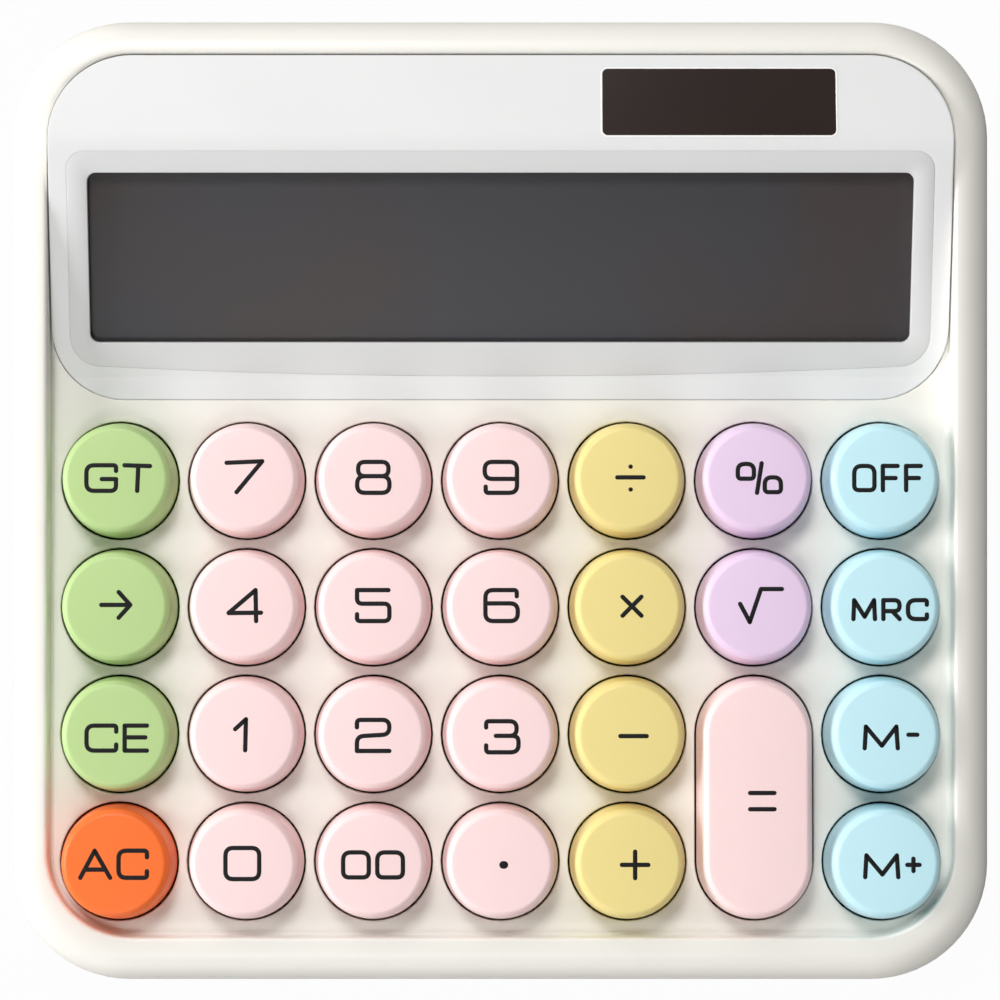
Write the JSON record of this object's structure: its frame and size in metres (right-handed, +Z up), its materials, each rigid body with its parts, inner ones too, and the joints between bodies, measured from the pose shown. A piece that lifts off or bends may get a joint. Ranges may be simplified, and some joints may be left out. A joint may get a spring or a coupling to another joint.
{
  "type": "desk calculator",
  "caption": "Square desk calculator with a wedge case, a wide sloped display, a solar cell and round sprung keys in pastel colours.",
  "frame": {"origin": "middle of the bounding box in plan, on the surface that the feet stand on", "axes": "+X to the user's right along the display, +Y from the user to the back, +Z up"},
  "size_m": [0.1464, 0.1428, 0.0346],
  "materials": {
    "case_white": "moulded ABS, satin, very fine texture",
    "panel_white": "moulded ABS, gloss",
    "bezel_grey": "moulded, light grey, semi-gloss",
    "window_clear": "clear acrylic, gloss",
    "lcd_dark": "polariser film on glass, dark grey",
    "holder_white": "moulded, satin",
    "strip_rubber": "conductive rubber strip",
    "board_green": "glass-epoxy board with solder mask",
    "resin_black": "cured epoxy drop",
    "part_plastic": "moulded component bodies",
    "ribbon_white": "flat flexible cable",
    "solar_window_dark": "dark tinted acrylic, gloss",
    "solar_cell_dark": "amorphous silicon on glass",
    "wire_red": "insulated lead",
    "wire_black": "insulated lead",
    "switch_black": "moulded nylon",
    "switch_grey": "moulded nylon",
    "spring_steel": "music wire, plated",
    "pin_brass": "stamped, tinned",
    "screw_steel": "zinc plated",
    "foot_rubber": "matte, moulded",
    "cell_jacket": "printed shrink sleeve, plain",
    "contact_steel": "nickel plated spring steel",
    "key_pink": "moulded ABS, semi-gloss",
    "key_green": "moulded ABS, semi-gloss",
    "key_orange": "moulded ABS, semi-gloss",
    "key_yellow": "moulded ABS, semi-gloss",
    "key_lilac": "moulded ABS, semi-gloss",
    "key_blue": "moulded ABS, semi-gloss"
  },
  "bodies": {
    "case": {"top_case": "case_white", "bottom_case": "case_white", "display_panel": "panel_white", "display_bezel": "bezel_grey", "display_window": "window_clear", "lcd_glass": "lcd_dark", "lcd_holder": "holder_white", "lcd_strip": "strip_rubber", "display_board": "board_green", "controller_chip": "resin_black", "board_parts": "part_plastic", "ribbon_cable": "ribbon_white", "solar_window": "solar_window_dark", "solar_cell": "solar_cell_dark", "solar_wires": "wire_red", "key_board": "board_green", "switch_housings": "switch_black", "switch_covers": "switch_grey", "switch_springs": "spring_steel", "switch_pins": "pin_brass", "key_board_screws": "screw_steel", "display_screws": "screw_steel", "case_screws": "screw_steel", "rubber_feet": "foot_rubber", "battery_cell": "cell_jacket", "battery_spring": "contact_steel", "battery_plate": "contact_steel", "battery_wires": "wire_black"},
    "battery_door": {"battery_door": "case_white"},
    "key_gt": {"key_gt": "key_green"},
    "key_7": {"key_7": "key_pink"},
    "key_8": {"key_8": "key_pink"},
    "key_9": {"key_9": "key_pink"},
    "key_divide": {"key_divide": "key_yellow"},
    "key_percent": {"key_percent": "key_lilac"},
    "key_off": {"key_off": "key_blue"},
    "key_back": {"key_back": "key_green"},
    "key_4": {"key_4": "key_pink"},
    "key_5": {"key_5": "key_pink"},
    "key_6": {"key_6": "key_pink"},
    "key_times": {"key_times": "key_yellow"},
    "key_root": {"key_root": "key_lilac"},
    "key_mrc": {"key_mrc": "key_blue"},
    "key_ce": {"key_ce": "key_green"},
    "key_1": {"key_1": "key_pink"},
    "key_2": {"key_2": "key_pink"},
    "key_3": {"key_3": "key_pink"},
    "key_minus": {"key_minus": "key_yellow"},
    "key_equals": {"key_equals": "key_pink"},
    "key_m_minus": {"key_m_minus": "key_blue"},
    "key_ac": {"key_ac": "key_orange"},
    "key_0": {"key_0": "key_pink"},
    "key_00": {"key_00": "key_pink"},
    "key_point": {"key_point": "key_pink"},
    "key_plus": {"key_plus": "key_yellow"},
    "key_m_plus": {"key_m_plus": "key_blue"}
  },
  "joints": [
    {"name": "key_gt_press", "type": "slide", "parent": "case", "child": "key_gt", "axis": [0, 0.0872, -0.9962], "range_m": [0, 0.0025], "stiffness_N_per_m": 110, "springref_m": -0.0035, "deforming": ["switch_springs"]},
    {"name": "key_7_press", "type": "slide", "parent": "case", "child": "key_7", "axis": [0, 0.0872, -0.9962], "range_m": [0, 0.0025], "stiffness_N_per_m": 110, "springref_m": -0.0035, "deforming": ["switch_springs"]},
    {"name": "key_8_press", "type": "slide", "parent": "case", "child": "key_8", "axis": [0, 0.0872, -0.9962], "range_m": [0, 0.0025], "stiffness_N_per_m": 110, "springref_m": -0.0035, "deforming": ["switch_springs"]},
    {"name": "key_9_press", "type": "slide", "parent": "case", "child": "key_9", "axis": [0, 0.0872, -0.9962], "range_m": [0, 0.0025], "stiffness_N_per_m": 110, "springref_m": -0.0035, "deforming": ["switch_springs"]},
    {"name": "key_divide_press", "type": "slide", "parent": "case", "child": "key_divide", "axis": [0, 0.0872, -0.9962], "range_m": [0, 0.0025], "stiffness_N_per_m": 110, "springref_m": -0.0035, "deforming": ["switch_springs"]},
    {"name": "key_percent_press", "type": "slide", "parent": "case", "child": "key_percent", "axis": [0, 0.0872, -0.9962], "range_m": [0, 0.0025], "stiffness_N_per_m": 110, "springref_m": -0.0035, "deforming": ["switch_springs"]},
    {"name": "key_off_press", "type": "slide", "parent": "case", "child": "key_off", "axis": [0, 0.0872, -0.9962], "range_m": [0, 0.0025], "stiffness_N_per_m": 110, "springref_m": -0.0035, "deforming": ["switch_springs"]},
    {"name": "key_back_press", "type": "slide", "parent": "case", "child": "key_back", "axis": [0, 0.0872, -0.9962], "range_m": [0, 0.0025], "stiffness_N_per_m": 110, "springref_m": -0.0035, "deforming": ["switch_springs"]},
    {"name": "key_4_press", "type": "slide", "parent": "case", "child": "key_4", "axis": [0, 0.0872, -0.9962], "range_m": [0, 0.0025], "stiffness_N_per_m": 110, "springref_m": -0.0035, "deforming": ["switch_springs"]},
    {"name": "key_5_press", "type": "slide", "parent": "case", "child": "key_5", "axis": [0, 0.0872, -0.9962], "range_m": [0, 0.0025], "stiffness_N_per_m": 110, "springref_m": -0.0035, "deforming": ["switch_springs"]},
    {"name": "key_6_press", "type": "slide", "parent": "case", "child": "key_6", "axis": [0, 0.0872, -0.9962], "range_m": [0, 0.0025], "stiffness_N_per_m": 110, "springref_m": -0.0035, "deforming": ["switch_springs"]},
    {"name": "key_times_press", "type": "slide", "parent": "case", "child": "key_times", "axis": [0, 0.0872, -0.9962], "range_m": [0, 0.0025], "stiffness_N_per_m": 110, "springref_m": -0.0035, "deforming": ["switch_springs"]},
    {"name": "key_root_press", "type": "slide", "parent": "case", "child": "key_root", "axis": [0, 0.0872, -0.9962], "range_m": [0, 0.0025], "stiffness_N_per_m": 110, "springref_m": -0.0035, "deforming": ["switch_springs"]},
    {"name": "key_mrc_press", "type": "slide", "parent": "case", "child": "key_mrc", "axis": [0, 0.0872, -0.9962], "range_m": [0, 0.0025], "stiffness_N_per_m": 110, "springref_m": -0.0035, "deforming": ["switch_springs"]},
    {"name": "key_ce_press", "type": "slide", "parent": "case", "child": "key_ce", "axis": [0, 0.0872, -0.9962], "range_m": [0, 0.0025], "stiffness_N_per_m": 110, "springref_m": -0.0035, "deforming": ["switch_springs"]},
    {"name": "key_1_press", "type": "slide", "parent": "case", "child": "key_1", "axis": [0, 0.0872, -0.9962], "range_m": [0, 0.0025], "stiffness_N_per_m": 110, "springref_m": -0.0035, "deforming": ["switch_springs"]},
    {"name": "key_2_press", "type": "slide", "parent": "case", "child": "key_2", "axis": [0, 0.0872, -0.9962], "range_m": [0, 0.0025], "stiffness_N_per_m": 110, "springref_m": -0.0035, "deforming": ["switch_springs"]},
    {"name": "key_3_press", "type": "slide", "parent": "case", "child": "key_3", "axis": [0, 0.0872, -0.9962], "range_m": [0, 0.0025], "stiffness_N_per_m": 110, "springref_m": -0.0035, "deforming": ["switch_springs"]},
    {"name": "key_minus_press", "type": "slide", "parent": "case", "child": "key_minus", "axis": [0, 0.0872, -0.9962], "range_m": [0, 0.0025], "stiffness_N_per_m": 110, "springref_m": -0.0035, "deforming": ["switch_springs"]},
    {"name": "key_equals_press", "type": "slide", "parent": "case", "child": "key_equals", "axis": [0, 0.0872, -0.9962], "range_m": [0, 0.0025], "stiffness_N_per_m": 200, "springref_m": -0.0035, "deforming": ["switch_springs"]},
    {"name": "key_m_minus_press", "type": "slide", "parent": "case", "child": "key_m_minus", "axis": [0, 0.0872, -0.9962], "range_m": [0, 0.0025], "stiffness_N_per_m": 110, "springref_m": -0.0035, "deforming": ["switch_springs"]},
    {"name": "key_ac_press", "type": "slide", "parent": "case", "child": "key_ac", "axis": [0, 0.0872, -0.9962], "range_m": [0, 0.0025], "stiffness_N_per_m": 110, "springref_m": -0.0035, "deforming": ["switch_springs"]},
    {"name": "key_0_press", "type": "slide", "parent": "case", "child": "key_0", "axis": [0, 0.0872, -0.9962], "range_m": [0, 0.0025], "stiffness_N_per_m": 110, "springref_m": -0.0035, "deforming": ["switch_springs"]},
    {"name": "key_00_press", "type": "slide", "parent": "case", "child": "key_00", "axis": [0, 0.0872, -0.9962], "range_m": [0, 0.0025], "stiffness_N_per_m": 110, "springref_m": -0.0035, "deforming": ["switch_springs"]},
    {"name": "key_point_press", "type": "slide", "parent": "case", "child": "key_point", "axis": [0, 0.0872, -0.9962], "range_m": [0, 0.0025], "stiffness_N_per_m": 110, "springref_m": -0.0035, "deforming": ["switch_springs"]},
    {"name": "key_plus_press", "type": "slide", "parent": "case", "child": "key_plus", "axis": [0, 0.0872, -0.9962], "range_m": [0, 0.0025], "stiffness_N_per_m": 110, "springref_m": -0.0035, "deforming": ["switch_springs"]},
    {"name": "key_m_plus_press", "type": "slide", "parent": "case", "child": "key_m_plus", "axis": [0, 0.0872, -0.9962], "range_m": [0, 0.0025], "stiffness_N_per_m": 110, "springref_m": -0.0035, "deforming": ["switch_springs"]},
    {"name": "battery_door_slide", "type": "slide", "parent": "case", "child": "battery_door", "axis": [0, 1, 0], "range_m": [0, 0.029]}
  ]
}
